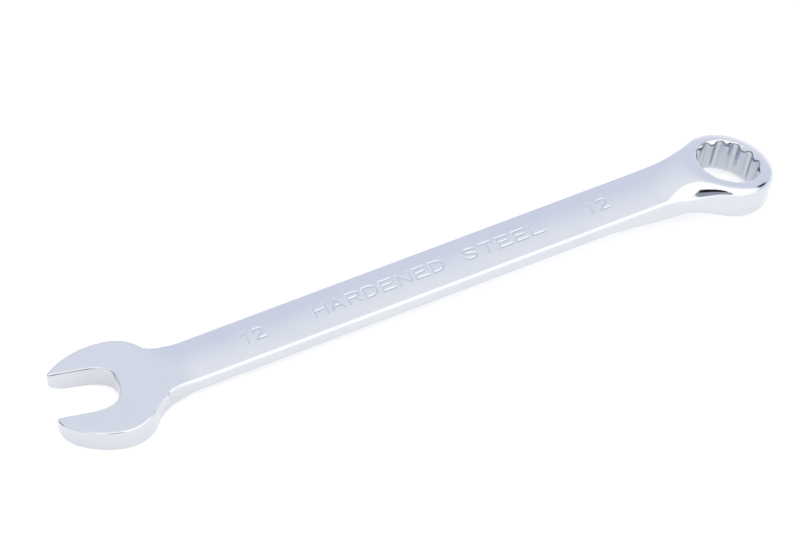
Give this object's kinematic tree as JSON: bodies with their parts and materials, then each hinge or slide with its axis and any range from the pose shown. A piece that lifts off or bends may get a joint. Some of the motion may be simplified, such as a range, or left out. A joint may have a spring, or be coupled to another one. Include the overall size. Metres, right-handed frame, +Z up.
{
  "type": "combination wrench",
  "caption": "Combination wrench with a turned open end, a flat round-edged shank and a tilted twelve-point ring for the same hexagon.",
  "frame": {"origin": "centre of the footprint on the bench the wrench lies on", "axes": "+X along the wrench from the open end to the ring, +Y towards the far jaw, +Z up off the bench"},
  "size_m": [0.1664, 0.0264, 0.0115],
  "materials": {
    "chrome_plate": "polished chrome plate over forged steel"
  },
  "bodies": {
    "root": {"open_end_head": "chrome_plate", "shank": "chrome_plate", "ring_head": "chrome_plate"}
  },
  "joints": []
}
